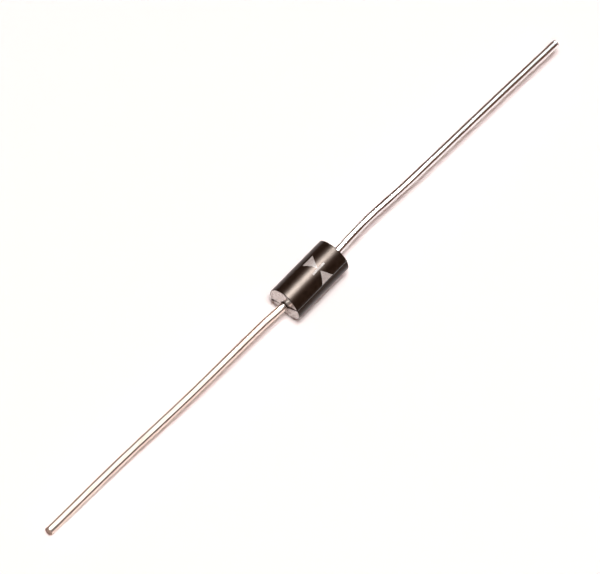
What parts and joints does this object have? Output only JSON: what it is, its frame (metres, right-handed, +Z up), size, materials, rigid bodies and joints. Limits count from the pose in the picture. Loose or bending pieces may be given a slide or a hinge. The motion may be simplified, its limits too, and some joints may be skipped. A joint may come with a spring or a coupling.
{
  "type": "tvs diode",
  "caption": "Axial-lead transient-voltage suppressor diode: round black moulded body with a tinned wire lead at each end, soldered through a board to clamp surges.",
  "frame": {"origin": "on the resting surface, under the middle of the moulded body", "axes": "+X along the body's axis toward lead B, +Y sideways toward the free end of lead A, +Z up"},
  "size_m": [0.0634, 0.0034, 0.0034],
  "materials": {
    "epoxy": "satin",
    "tinned_copper": "polished",
    "silicon": "polished",
    "solder": "satin",
    "silicone": "matte"
  },
  "bodies": {
    "root": {"moulded_body": "epoxy", "lead_a": "tinned_copper", "lead_b": "tinned_copper", "silicon_die": "silicon", "solder_a": "solder", "solder_b": "solder", "junction_coating": "silicone"}
  },
  "joints": []
}
